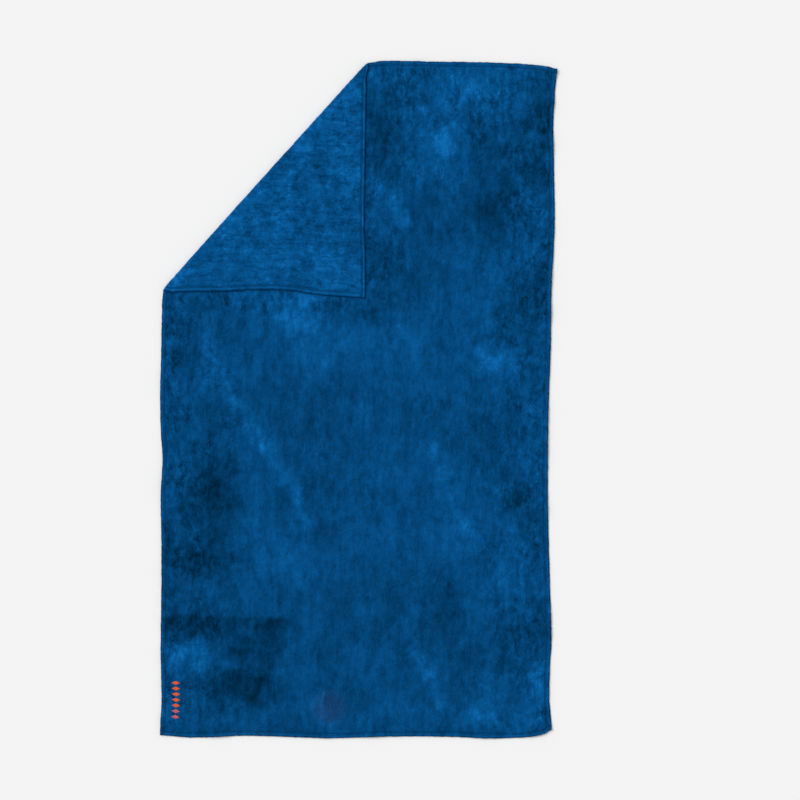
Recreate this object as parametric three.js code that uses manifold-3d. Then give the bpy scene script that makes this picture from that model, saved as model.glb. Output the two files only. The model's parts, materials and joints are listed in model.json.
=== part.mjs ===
// A quick-dry travel towel that lies flat with its top left corner folded over.
// Units are millimetres. +X runs across the towel, +Y along it and +Z up from the surface it lies on.
// The origin is on that surface, under the middle of the folded towel's outline.
// The towel is one panel of plush cloth. It is drawn as two panels that meet at the crease, so that
// the corner can turn. Each panel has its own stretch of turned-over hem and of seam thread.

import * as THREE from "three";
import { mergeVertices } from "three/addons/utils/BufferGeometryUtils.js";
import Module from "manifold-3d";

const wasm = await Module();
wasm.setup();

// The whole towel
const WIDTH = 1010;
const LENGTH = 1750;
const GAP = 0.3; // clearance between two pieces that lie against each other

// The cloth, with the pile of both its faces
const CLOTH_THICKNESS = 4;
const TONGUE_THICKNESS = 1; // the pressed edge of the cloth inside the hem

// The hem: the cloth's edge turned over and sewn down flatter than the pile
const HEM_WIDTH = 12;
const HEM_THICKNESS = 2.8;
const HEM_FOLD = 2; // how thick the hem is at its outer fold
const HEM_SLOT = TONGUE_THICKNESS + 2 * GAP;

// The seam: a needle thread on the front face and a wider looper thread on the back face
const THREAD_THICKNESS = 0.3;
const SEAM_INSET = 10; // from the towel's edge to the middle of the seam
const NEEDLE_THREAD_WIDTH = 0.8;
const LOOPER_THREAD_WIDTH = 3;
const SEAM_END = 1.5; // from a crossing hem to the end of the seam
const TACK_NEAR = 2; // a corner tack lies between these two distances from both edges
const TACK_FAR = 11;

// The fold: where the crease leaves the left and top edges, measured from the square corner,
// and where the towel's own corner lies once it is folded over
const CREASE_DOWN_LEFT_EDGE = 599;
const CREASE_ALONG_TOP_EDGE = 542.5;
const FOLDED_CORNER = new THREE.Vector2(21, 266);

// The embroidered mark: a column of plain lozenges beside the left hem
const MARK_COUNT = 7;
const MARK_PITCH = 14.8;
const MARK_WIDTH = 20;
const MARK_HEIGHT = 10.5;
const MARK_THICKNESS = 0.6;
const MARK_FROM_LEFT_EDGE = 38;
const MARK_FROM_BOTTOM_EDGE = 96;

// The blank care patch, bonded to the back face in the pile
const PATCH_RADIUS = 44;
const PATCH_THICKNESS = 0.5;
const PATCH_SIDES = 48;
const PATCH_CENTRE = new THREE.Vector2(-70, -LENGTH / 2 + 78);

const MATERIALS = {
  cloth: { color: 0x04487f, roughness: 0.95, metalness: 0 },
  hem: { color: 0x063a68, roughness: 0.95, metalness: 0 },
  thread: { color: 0x0a3f70, roughness: 0.6, metalness: 0 },
  mark: { color: 0xe8501c, roughness: 0.5, metalness: 0 },
  patch: { color: 0x5a4a78, roughness: 0.8, metalness: 0 },
};

// Outlines. Each runs anticlockwise, and edge i goes from corner i to corner i + 1.

const left = -WIDTH / 2;
const right = WIDTH / 2;
const bottom = -LENGTH / 2;
const top = LENGTH / 2;
const creaseOnLeft = new THREE.Vector2(left, top - CREASE_DOWN_LEFT_EDGE);
const creaseOnTop = new THREE.Vector2(left + CREASE_ALONG_TOP_EDGE, top);
const creaseAlong = creaseOnTop.clone().sub(creaseOnLeft).normalize();

// The point on the other side of the crease, as far from it.
function mirroredInCrease(point) {
  const offset = point.clone().sub(creaseOnLeft);
  const along = creaseAlong.clone().multiplyScalar(2 * offset.dot(creaseAlong));
  return creaseOnLeft.clone().add(along).sub(offset);
}

const mainPanel = {
  outline: [
    new THREE.Vector2(left, bottom),
    new THREE.Vector2(right, bottom),
    new THREE.Vector2(right, top),
    creaseOnTop,
    creaseOnLeft,
  ],
  edges: ["bottom", "right", "top", "crease", "left"],
};

// The corner as it lies when it is opened flat
const cornerPanel = {
  outline: [creaseOnLeft, creaseOnTop, mirroredInCrease(FOLDED_CORNER)],
  edges: ["crease", "top", "left"],
};

// The line of edge i moved inwards: a point on it and its direction.
function insetLine(outline, i, distance) {
  const count = outline.length;
  const start = outline[(i + count) % count];
  const end = outline[(i + 1) % count];
  const along = end.clone().sub(start).normalize();
  const inwards = new THREE.Vector2(-along.y, along.x);
  return { point: start.clone().addScaledVector(inwards, distance), along };
}

function meeting(a, b) {
  const apart = b.point.clone().sub(a.point);
  const distance = apart.cross(b.along) / a.along.cross(b.along);
  return a.point.clone().addScaledVector(a.along, distance);
}

// The outline with each edge moved inwards by its own distance.
function insetOutline(panel, insetOf) {
  const lines = panel.edges.map((edge, i) => insetLine(panel.outline, i, insetOf(edge)));
  return lines.map((line, i) => meeting(lines.at(i - 1), line));
}

// The four corners of a band along edge i, between two distances from it. Its ends are cut by the
// neighbouring edges, each moved inwards by what endInset gives for it.
function band(panel, i, near, far, endInset) {
  const { outline, edges } = panel;
  const before = insetLine(outline, i - 1, endInset(edges.at(i - 1)));
  const after = insetLine(outline, i + 1, endInset(edges[(i + 1) % edges.length]));
  const outer = insetLine(outline, i, near);
  const inner = insetLine(outline, i, far);
  return [meeting(before, outer), meeting(outer, after), meeting(after, inner), meeting(inner, before)];
}

// Solids

function prism(points, lowest, highest) {
  const shape = new THREE.Shape(points);
  const geometry = new THREE.ExtrudeGeometry(shape, { depth: highest - lowest, bevelEnabled: false });
  return geometry.translate(0, 0, lowest);
}

// A layer of the given thickness in the middle of the cloth.
function middleLayer(points, thickness) {
  const lowest = (CLOTH_THICKNESS - thickness) / 2;
  return prism(points, lowest, lowest + thickness);
}

function solidOf(geometry) {
  const bare = geometry.clone();
  bare.deleteAttribute("normal");
  bare.deleteAttribute("uv");
  const merged = mergeVertices(bare);
  return new wasm.Manifold(
    new wasm.Mesh({
      numProp: 3,
      vertProperties: merged.attributes.position.array,
      triVerts: new Uint32Array(merged.index.array),
    }),
  );
}

function geometryOf(solid) {
  const mesh = solid.getMesh();
  const geometry = new THREE.BufferGeometry();
  geometry.setAttribute("position", new THREE.BufferAttribute(mesh.vertProperties, 3));
  geometry.setIndex(new THREE.BufferAttribute(mesh.triVerts, 1));
  geometry.computeVertexNormals();
  return geometry;
}

function piece(name, geometry, materialName) {
  const mesh = new THREE.Mesh(geometry, new THREE.MeshStandardMaterial(MATERIALS[materialName]));
  mesh.name = name;
  return mesh;
}

// A panel's cloth: the plush field, and round its sewn edges the thin tongue that the hem holds.
function clothSolid(panel) {
  const field = insetOutline(panel, (edge) => (edge === "crease" ? GAP : HEM_WIDTH + GAP));
  const tongue = insetOutline(panel, (edge) => (edge === "crease" ? GAP : HEM_FOLD + GAP));
  return solidOf(prism(field, 0, CLOTH_THICKNESS)).add(solidOf(middleLayer(tongue, TONGUE_THICKNESS)));
}

// The hem of edge i: a channel round the tongue. Those of the top and bottom edges run through the
// towel's corners, and those of the sides end against them.
function hemGeometry(panel, i) {
  const runsThrough = panel.edges[i] === "top" || panel.edges[i] === "bottom";
  const endInset = (edge) => {
    if (edge === "crease") return GAP;
    return runsThrough ? 0 : HEM_WIDTH + GAP;
  };
  const strip = band(panel, i, 0, HEM_WIDTH, endInset);
  const slot = insetOutline(panel, (edge) => (edge === "crease" ? -HEM_WIDTH : HEM_FOLD));
  const channel = solidOf(middleLayer(strip, HEM_THICKNESS)).subtract(solidOf(middleLayer(slot, HEM_SLOT)));
  return geometryOf(channel);
}

// A run of seam thread along edge i, on the front or the back face of its hem.
function seamGeometry(panel, i, width, onFront) {
  const endInset = (edge) => (edge === "crease" ? SEAM_END : HEM_WIDTH + SEAM_END);
  const strip = band(panel, i, SEAM_INSET - width / 2, SEAM_INSET + width / 2, endInset);
  const lowest = onFront ? CLOTH_THICKNESS - THREAD_THICKNESS : 0;
  return prism(strip, lowest, lowest + THREAD_THICKNESS);
}

// The tack of thread over the hems that cross at corner i.
function tackGeometry(panel, i) {
  const lines = [TACK_NEAR, TACK_FAR].map((distance) => ({
    before: insetLine(panel.outline, i - 1, distance),
    after: insetLine(panel.outline, i, distance),
  }));
  const [near, far] = lines;
  const square = [
    meeting(near.before, near.after),
    meeting(near.after, far.before),
    meeting(far.before, far.after),
    meeting(far.after, near.before),
  ];
  return prism(square, CLOTH_THICKNESS - THREAD_THICKNESS, CLOTH_THICKNESS);
}

// The hems, seam threads and corner tacks of one panel.
function sewnEdges(panel, prefix) {
  const pieces = [];
  panel.edges.forEach((edge, i) => {
    if (edge === "crease") return;
    pieces.push(
      piece(`hem_${prefix}${edge}`, hemGeometry(panel, i), "hem"),
      piece(`needle_thread_${prefix}${edge}`, seamGeometry(panel, i, NEEDLE_THREAD_WIDTH, true), "thread"),
      piece(`looper_thread_${prefix}${edge}`, seamGeometry(panel, i, LOOPER_THREAD_WIDTH, false), "thread"),
    );
    const edgeBefore = panel.edges.at(i - 1);
    if (edgeBefore === "crease") return;
    pieces.push(piece(`tack_${edgeBefore}_${edge}`, tackGeometry(panel, i), "thread"));
  });
  return pieces;
}

function patchDisc(radius, thickness) {
  const disc = new THREE.CylinderGeometry(radius, radius, thickness, PATCH_SIDES);
  disc.rotateX(Math.PI / 2);
  return disc.translate(PATCH_CENTRE.x, PATCH_CENTRE.y, thickness / 2);
}

function lozenges() {
  const halfWidth = MARK_WIDTH / 2;
  const halfHeight = MARK_HEIGHT / 2;
  const outline = [
    new THREE.Vector2(halfWidth, 0),
    new THREE.Vector2(0, halfHeight),
    new THREE.Vector2(-halfWidth, 0),
    new THREE.Vector2(0, -halfHeight),
  ];
  return Array.from({ length: MARK_COUNT }, (_, i) => {
    const lozenge = piece(`mark_lozenge_${i + 1}`, prism(outline, 0, MARK_THICKNESS), "mark");
    const fromMiddle = i - (MARK_COUNT - 1) / 2;
    lozenge.position.x = left + MARK_FROM_LEFT_EDGE;
    lozenge.position.y = bottom + MARK_FROM_BOTTOM_EDGE - fromMiddle * MARK_PITCH;
    lozenge.position.z = CLOTH_THICKNESS + GAP;
    return lozenge;
  });
}

// The main panel, with the hollow in its back pile that the care patch sits in
const patchHollow = solidOf(patchDisc(PATCH_RADIUS + GAP, PATCH_THICKNESS + GAP));
const mainGroup = new THREE.Group();
mainGroup.add(
  piece("cloth_main", geometryOf(clothSolid(mainPanel).subtract(patchHollow)), "cloth"),
  ...sewnEdges(mainPanel, ""),
  ...lozenges(),
  piece("care_patch", patchDisc(PATCH_RADIUS, PATCH_THICKNESS), "patch"),
);

// The corner is drawn opened flat. Its group turns it half round about the crease, which runs just
// above the main panel, so it lies face down on that panel.
const creaseAxis = new THREE.Vector3(creaseAlong.x, creaseAlong.y, 0);
const creasePoint = new THREE.Vector3(creaseOnLeft.x, creaseOnLeft.y, CLOTH_THICKNESS + GAP / 2);
const cornerGroup = new THREE.Group();
cornerGroup.add(
  piece("cloth_corner", geometryOf(clothSolid(cornerPanel)), "cloth"),
  ...sewnEdges(cornerPanel, "corner_"),
);
cornerGroup.quaternion.setFromAxisAngle(creaseAxis, Math.PI);
cornerGroup.position.copy(creasePoint).sub(creasePoint.clone().applyQuaternion(cornerGroup.quaternion));

const towel = new THREE.Group();
towel.add(mainGroup, cornerGroup);

export default towel;
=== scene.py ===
"""The looks of a plush quick-dry towel that lies flat with its top left corner folded over.

Metres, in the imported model's frame: +X across the towel, +Y along it, +Z up from the floor.
Cloth, hems, seams and mark are all made in the towel's flat coordinates (u, v, w): u and v are
where a point is on the towel before it is laid down, and w is its height in the cloth, from 0 on
the back face to the cloth's thickness on the front face. lay_main() and lay_corner() then lay
them down, so every piece follows the same wavy edges, ripples and fold.
"""

import json
import math

import bmesh
import bpy
import numpy as np
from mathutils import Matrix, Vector

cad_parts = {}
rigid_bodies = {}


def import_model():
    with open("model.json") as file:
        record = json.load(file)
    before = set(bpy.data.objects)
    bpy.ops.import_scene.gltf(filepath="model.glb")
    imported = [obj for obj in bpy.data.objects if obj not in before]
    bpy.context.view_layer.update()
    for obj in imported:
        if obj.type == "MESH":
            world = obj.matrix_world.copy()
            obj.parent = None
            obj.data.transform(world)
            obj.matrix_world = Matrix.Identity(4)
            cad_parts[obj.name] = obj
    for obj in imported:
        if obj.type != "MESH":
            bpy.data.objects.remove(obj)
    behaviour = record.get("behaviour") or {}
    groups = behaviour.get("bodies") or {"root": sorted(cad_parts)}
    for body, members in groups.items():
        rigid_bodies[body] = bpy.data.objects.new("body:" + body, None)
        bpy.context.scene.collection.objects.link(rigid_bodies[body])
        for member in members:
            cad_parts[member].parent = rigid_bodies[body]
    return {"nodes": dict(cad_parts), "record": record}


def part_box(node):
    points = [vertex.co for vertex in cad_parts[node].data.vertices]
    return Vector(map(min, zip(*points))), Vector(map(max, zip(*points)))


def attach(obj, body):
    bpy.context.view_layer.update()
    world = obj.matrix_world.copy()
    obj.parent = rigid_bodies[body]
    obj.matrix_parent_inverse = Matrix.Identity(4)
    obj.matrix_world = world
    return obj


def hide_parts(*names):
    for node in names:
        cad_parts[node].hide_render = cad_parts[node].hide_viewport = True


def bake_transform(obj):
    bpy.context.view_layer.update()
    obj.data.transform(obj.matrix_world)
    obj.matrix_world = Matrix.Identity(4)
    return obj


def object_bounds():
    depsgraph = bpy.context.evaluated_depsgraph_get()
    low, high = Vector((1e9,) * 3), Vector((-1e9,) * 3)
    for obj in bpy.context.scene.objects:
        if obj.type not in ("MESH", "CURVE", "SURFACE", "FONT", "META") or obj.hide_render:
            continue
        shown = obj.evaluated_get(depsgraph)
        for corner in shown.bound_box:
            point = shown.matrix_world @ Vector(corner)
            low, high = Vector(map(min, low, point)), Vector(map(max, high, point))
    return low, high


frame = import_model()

MM = 0.001
cad_low, cad_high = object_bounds()

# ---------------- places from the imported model

LEFT, BOTTOM = cad_low.x, cad_low.y
RIGHT, TOP = cad_high.x, cad_high.y
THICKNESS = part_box("cloth_main")[1].z
HEM_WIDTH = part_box("hem_right")[1].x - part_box("hem_right")[0].x
FLAP_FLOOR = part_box("cloth_corner")[0].z  # the lowest that the folded corner may lie

fold_joint = frame["record"]["behaviour"]["joints"][0]
MAIN, CORNER = fold_joint["parent"], fold_joint["child"]
crease_middle = np.array(fold_joint["pos_m"][:2])
CREASE = -np.array(fold_joint["axis"][:2])  # along the crease, up and to the right
CREASE /= np.linalg.norm(CREASE)
INWARD = np.array([CREASE[1], -CREASE[0]])  # from the crease towards the main panel
P = crease_middle + CREASE * (LEFT - crease_middle[0]) / CREASE[0]  # where it meets the left edge
Q = crease_middle + CREASE * (TOP - crease_middle[1]) / CREASE[1]  # where it meets the top edge
CREASE_LENGTH = float(np.linalg.norm(Q - P))
hem_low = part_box("hem_corner_top")[0]
TIP = np.array([hem_low.x + HEM_WIDTH, hem_low.y])  # the towel's own corner, folded over
FLAT_TIP = np.array([LEFT, TOP])  # and where it was before

# ---------------- repeatable noise

# Large odd numbers that mix a whole number's bits well, and the masks that keep its low bits
MIX_X, MIX_Y, MIX_SEED, MIX_AGAIN = 374761393, 668265263, 974634777, 1274126177
LOW_32_BITS, LOW_24_BITS = 0xFFFFFFFF, 0xFFFFFF
NOISE_HEIGHT = 1.5  # brings gradient noise up to about -1 to 1
LAYER_TURN = 0.6  # how far each layer of noise is turned against the one before it
LAYER_SEED_STEP = 17


def lattice(ix, iy, seed):
    """A value from 0 to 1 for each whole-number point, the same one each time."""
    mixed = ix.astype(np.int64) * MIX_X + iy.astype(np.int64) * MIX_Y + seed * MIX_SEED
    mixed = mixed & LOW_32_BITS
    mixed = ((mixed ^ (mixed >> 13)) * MIX_AGAIN) & LOW_32_BITS
    return ((mixed ^ (mixed >> 16)) & LOW_24_BITS) / float(LOW_24_BITS)


def noise(x, y, seed):
    """Smooth gradient noise of x and y, about -1 to 1, with one bump per unit."""
    x0, y0 = np.floor(x), np.floor(y)
    fx, fy = x - x0, y - y0
    sx = fx * fx * fx * (fx * (fx * 6 - 15) + 10)
    sy = fy * fy * fy * (fy * (fy * 6 - 15) + 10)

    def corner(dx, dy):
        angle = 2 * math.pi * lattice(x0 + dx, y0 + dy, seed)
        return np.cos(angle) * (fx - dx) + np.sin(angle) * (fy - dy)

    low = corner(0, 0) * (1 - sx) + corner(1, 0) * sx
    high = corner(0, 1) * (1 - sx) + corner(1, 1) * sx
    return NOISE_HEIGHT * (low * (1 - sy) + high * sy)


def ripples(x, y, size, seed):
    """Noise with one bump per size metres."""
    return noise(x / size, y / size, seed)


def layered(x, y, size, seed, layers=3, gain=0.5):
    """Noise of several sizes, from size metres down by halves."""
    total, weight, norm = 0, 1.0, 0.0
    for k in range(layers):
        turn = LAYER_TURN * k
        a, b = math.cos(turn) * 2**k / size, math.sin(turn) * 2**k / size
        total = total + weight * noise(x * a - y * b, x * b + y * a, seed + LAYER_SEED_STEP * k)
        norm += weight * weight
        weight *= gain
    return total / math.sqrt(norm)


def smooth(t):
    t = np.clip(t, 0, 1)
    return t * t * (3 - 2 * t)


def fade(distance, width):
    """1 at distance 0, falling smoothly to 0 at width."""
    return 1 - smooth(distance / width)


def curve_through(knots, at):
    """A smooth curve through (place, value) knots, level past both ends."""
    xs, ys = np.array(knots, float).T
    slopes = np.gradient(ys, xs)
    slopes[[0, -1]] = 0
    t = np.clip(at, xs[0], xs[-1])
    i = np.clip(np.searchsorted(xs, t, side="right") - 1, 0, len(xs) - 2)
    h = xs[i + 1] - xs[i]
    s = (t - xs[i]) / h
    return (
        (1 + 2 * s) * (1 - s) ** 2 * ys[i]
        + s * (1 - s) ** 2 * h * slopes[i]
        + s * s * (3 - 2 * s) * ys[i + 1]
        + s * s * (s - 1) * h * slopes[i + 1]
    )


# ---------------- how the towel lies
# Each list says how far an edge wanders outwards (mm) at a place along it (m).

LEFT_WANDER = [(-0.875, 4), (-0.80, 0.5), (-0.66, 2), (-0.39, 0), (-0.24, 1.5), (-0.16, -2.5),
               (-0.08, 2), (0.0, 3.5), (0.12, 1), (0.26, -1)]
RIGHT_WANDER = [(-0.875, 1), (-0.79, -5), (-0.70, -3.5), (-0.62, 0.6), (-0.54, -1.5), (-0.39, -6),
                (-0.27, -8.5), (0.04, -5), (0.11, -2), (0.31, 1.5), (0.40, 7), (0.78, 8), (0.84, 12),
                (0.875, 16)]
TOP_WANDER = [(0.03, 2), (0.08, 3), (0.19, 1), (0.36, -2), (0.43, -6), (0.48, -12), (0.505, -18)]
BOTTOM_WANDER = [(-0.505, -5), (-0.44, 0), (-0.28, -4), (-0.15, 0), (-0.09, 2), (0.09, -2), (0.25, -1),
                 (0.34, 2.5), (0.42, 1), (0.455, -2), (0.485, -9), (0.505, -19)]
# The same for the folded corner's two edges, from the crease (0) to the corner's tip (1).
FLAP_SIDE_WANDER = [(0, 4), (0.05, 0), (0.13, -5), (0.3, -8), (0.5, -14), (0.63, -13.5), (0.76, -4),
                    (0.9, 0), (1, 3)]
FLAP_TOP_WANDER = [(0, -6), (0.05, -9), (0.12, -9), (0.3, -8), (0.5, -7), (0.7, -5), (0.85, 0), (1, 2)]
CREASE_BOW = 1.4 * MM  # the crease bows outwards in its middle
WANDER_REACH = 0.25  # how far into the cloth an edge's wandering is felt
FLAP_REACH = 0.18  # and the same for the folded corner's edges

FOLD_RADIUS = 3.15 * MM  # of the cloth's middle layer round the crease
FOLD_ARC = math.pi * FOLD_RADIUS
FOLD_CENTRE = THICKNESS / 2 + FOLD_RADIUS  # the height that it turns about
PILE_GAP = FLAP_FLOOR - THICKNESS  # between the folded corner and the main panel under it
FOLD_SPRING = 2 * FOLD_RADIUS - THICKNESS - PILE_GAP  # how much higher the flap lies at its crease
SPRING_REACH = 34 * MM
TIP_ROUNDING = 5 * MM  # the crease's two ends are pulled in this far along it
TIP_ROUNDING_REACH = 15 * MM
FOLD_FUZZ = 0.7 * MM  # how uneven the pile makes the outside of the fold
FOLD_FUZZ_SIZE = 9 * MM
FOLD_PINCH = 0.6  # how much flatter the fold is at its two ends
FOLD_PINCH_REACH = 12 * MM
TUCK = 6 * MM  # how far the folded corner is drawn in along the crease at its two ends
TUCK_REACH = 60 * MM

FLAP_CURL = 4.0 * MM  # how strongly the folded corner's hems curl up
FLAP_CURL_SIZE = 0.08
FLAP_CURL_BASE = 0.25  # the share of the curl that is there all along the hems
FLAP_CURL_MOST = 1.5 * MM  # no part of it rises more, so that it can lie flat when opened
FLAP_CURL_REACH = 40 * MM
SETTLE_REACH = 0.03  # its edges start to wander at the crease and do so fully this far from it
RISE_REACH = 0.05  # and its own ripples and curl are there fully this far from it

HEM_WAVE = 0.6 * MM  # the fine waviness that a seam gives a hem
HEM_WAVE_SIZE = 19 * MM
HEM_PUCKER = 0.4 * MM
HEM_PUCKER_SIZE = 13 * MM
HEM_WAVE_REACH = 26 * MM

# Low swells all over, and ripples along the sides and ends: heights (mm), sizes and reaches (m).
SWELL_HEIGHT, SWELL_SIZE, SWELL_BASE = 1.6, 0.33, 0.15
SIDE_RIPPLE_HEIGHT, SIDE_RIPPLE_SIZE, SIDE_RIPPLE_REACH = 5.6, 0.085, 0.11
END_RIPPLE_HEIGHT, END_RIPPLE_SIZE, END_RIPPLE_REACH = 5.0, 0.1, 0.09
INWARD_SQUEEZE, INWARD_SIZE = 0.35, 0.1  # ripples are drawn out inwards from their edge
CREASE_WOBBLE, CREASE_WOBBLE_SIZE = 0.012, 0.07  # pressed creases don't run quite straight
UNDER_FLAP_MARGIN, UNDER_FLAP_FADE = 0.01, 0.05
UNDER_FLAP_FLATTER = 0.85  # how much flatter the main panel lies under the folded corner
# The folded corner's ripples: heights (mm), sizes (m) and how drawn out they are across the towel.
FLAP_SWELL_HEIGHT, FLAP_SWELL_SIZE, FLAP_SWELL_DRAWN = 0.9, 0.16, 0.6
FLAP_RIPPLE_HEIGHT, FLAP_RIPPLE_ACROSS, FLAP_RIPPLE_ALONG = 0.5, 0.03, 0.13

# Long low creases pressed into the cloth: two ends (m), then width and height (mm).
PRESSED_CREASES = [
    ((0.035, 0.535), (0.19, 0.546), 5, 1.0),
    ((0.04, 0.515), (0.16, 0.517), 7, 0.8),
    ((0.03, 0.62), (0.13, 0.60), 8, 0.8),
    ((0.37, 0.55), (0.47, 0.40), 9, 1.0),
    ((0.40, 0.33), (0.49, 0.20), 9, 1.1),
    ((0.42, 0.18), (0.485, 0.03), 8, 0.9),
    ((-0.47, 0.18), (-0.40, 0.02), 9, 1.0),
    ((-0.48, -0.06), (-0.42, -0.26), 9, 1.1),
    ((-0.46, -0.38), (-0.38, -0.52), 10, 0.8),
    ((0.47, -0.80), (0.41, -0.72), 9, 1.4),
    ((0.44, -0.83), (0.36, -0.80), 8, 1.0),
    ((-0.42, -0.80), (-0.33, -0.73), 10, 1.0),
]


def crease_side(x, y):
    """How far a point is from the crease, on the main panel's side, and how far along it."""
    dx, dy = x - P[0], y - P[1]
    return dx * INWARD[0] + dy * INWARD[1], dx * CREASE[0] + dy * CREASE[1]


def wander(x, y):
    """How far the cloth at a point lies from where straight edges would have it."""
    dx = MM * curve_through(RIGHT_WANDER, y) * fade(RIGHT - x, WANDER_REACH)
    dx = dx - MM * curve_through(LEFT_WANDER, y) * fade(x - LEFT, WANDER_REACH)
    dy = MM * curve_through(TOP_WANDER, x) * fade(TOP - y, WANDER_REACH)
    dy = dy - MM * curve_through(BOTTOM_WANDER, x) * fade(y - BOTTOM, WANDER_REACH)
    inside, along = crease_side(x, y)
    bow = CREASE_BOW * np.sin(np.pi * np.clip(along / CREASE_LENGTH, 0, 1)) * fade(inside, WANDER_REACH)
    dx, dy = dx - bow * INWARD[0], dy - bow * INWARD[1]
    for end, pull in ((P, CREASE), (Q, -CREASE)):
        near = TIP_ROUNDING * np.exp(-((x - end[0]) ** 2 + (y - end[1]) ** 2) / TIP_ROUNDING_REACH**2)
        dx, dy = dx + near * pull[0], dy + near * pull[1]
    return dx, dy


def hem_wave(u, v, from_side, from_end):
    """A seam's fine waviness near two edges: across the side edge, across the end edge, and up."""
    side_near, end_near = fade(from_side, HEM_WAVE_REACH), fade(from_end, HEM_WAVE_REACH)
    across_side = HEM_WAVE * side_near * ripples(u, v, HEM_WAVE_SIZE, seed=5)
    across_end = HEM_WAVE * end_near * ripples(u, v, HEM_WAVE_SIZE, seed=7)
    pucker = 0.5 + 0.5 * ripples(u, v, HEM_PUCKER_SIZE, seed=6)
    return across_side, across_end, HEM_PUCKER * np.maximum(side_near, end_near) * pucker


def line_distance(x, y, a, b):
    """How far a point is from the line between a and b, and its share of the way along."""
    (ax, ay), (bx, by) = a, b
    share = ((x - ax) * (bx - ax) + (y - ay) * (by - ay)) / ((bx - ax) ** 2 + (by - ay) ** 2)
    share = np.clip(share, 0, 1)
    return np.hypot(x - ax - share * (bx - ax), y - ay - share * (by - ay)), share


def under_flap(x, y):
    """1 where the folded corner lies on the main panel, falling to 0 just outside it."""
    past_side = np.maximum(P[1] - UNDER_FLAP_MARGIN - y, 0)
    past_top = np.maximum(x - Q[0], 0)
    return fade(np.hypot(past_side, past_top), UNDER_FLAP_FADE)


def lift(x, y):
    """How high the main panel's cloth stands off the floor."""
    from_side = np.minimum(x - LEFT, RIGHT - x)
    from_end = np.minimum(y - BOTTOM, TOP - y)
    broad = SWELL_HEIGHT * np.maximum(0, layered(x, y, SWELL_SIZE, seed=11, layers=2) + SWELL_BASE)
    side_wave = noise(INWARD_SQUEEZE * x / INWARD_SIZE, y / SIDE_RIPPLE_SIZE, seed=31)
    side_ripple = SIDE_RIPPLE_HEIGHT * np.maximum(0, side_wave) * fade(from_side, SIDE_RIPPLE_REACH)
    end_wave = noise(x / END_RIPPLE_SIZE, INWARD_SQUEEZE * y / INWARD_SIZE, seed=32)
    end_ripple = END_RIPPLE_HEIGHT * np.maximum(0, end_wave) * fade(from_end, END_RIPPLE_REACH)
    wobble_x = x + CREASE_WOBBLE * ripples(x, y, CREASE_WOBBLE_SIZE, seed=21)
    wobble_y = y + CREASE_WOBBLE * ripples(x, y, CREASE_WOBBLE_SIZE, seed=22)
    creased = 0
    for a, b, width, height in PRESSED_CREASES:
        away, share = line_distance(wobble_x, wobble_y, a, b)
        ridge = height * np.exp(-((away / (width * MM)) ** 2))
        creased = creased + ridge * np.sqrt(np.sin(np.pi * share))
    flatter = 1 - UNDER_FLAP_FLATTER * under_flap(x, y)
    return MM * (broad + side_ripple + end_ripple + creased) * flatter


def lay_main(flat):
    """Lays flat points (u, v, w) of the main panel down."""
    x, y, w = flat.T
    dx, dy = wander(x, y)
    from_side, from_end = np.minimum(x - LEFT, RIGHT - x), np.minimum(y - BOTTOM, TOP - y)
    wave_x, wave_y, up = hem_wave(x, y, from_side, from_end)
    return np.stack([x + dx + wave_x, y + dy + wave_y, w + lift(x, y) + up], axis=1)


# The folded corner is sheared a little: its tip lies lower than a mirror image's would.
tip_inside, tip_along = crease_side(*TIP)
flat_tip_inside, flat_tip_along = crease_side(*FLAT_TIP)
FLAP_STRETCH = tip_inside / -flat_tip_inside
FLAP_SHEAR = (tip_along - flat_tip_along) / (FOLD_ARC / 2 - flat_tip_inside)


def flap_lift(u, v):
    """The folded corner's own low ripples, which run along the towel's length."""
    swell = layered(u / FLAP_SWELL_DRAWN, v, FLAP_SWELL_SIZE, seed=41, layers=2)
    ripple = noise(u / FLAP_RIPPLE_ACROSS, v / FLAP_RIPPLE_ALONG, seed=42)
    return MM * (FLAP_SWELL_HEIGHT * np.maximum(0, swell) + FLAP_RIPPLE_HEIGHT * np.maximum(0, ripple))


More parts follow.
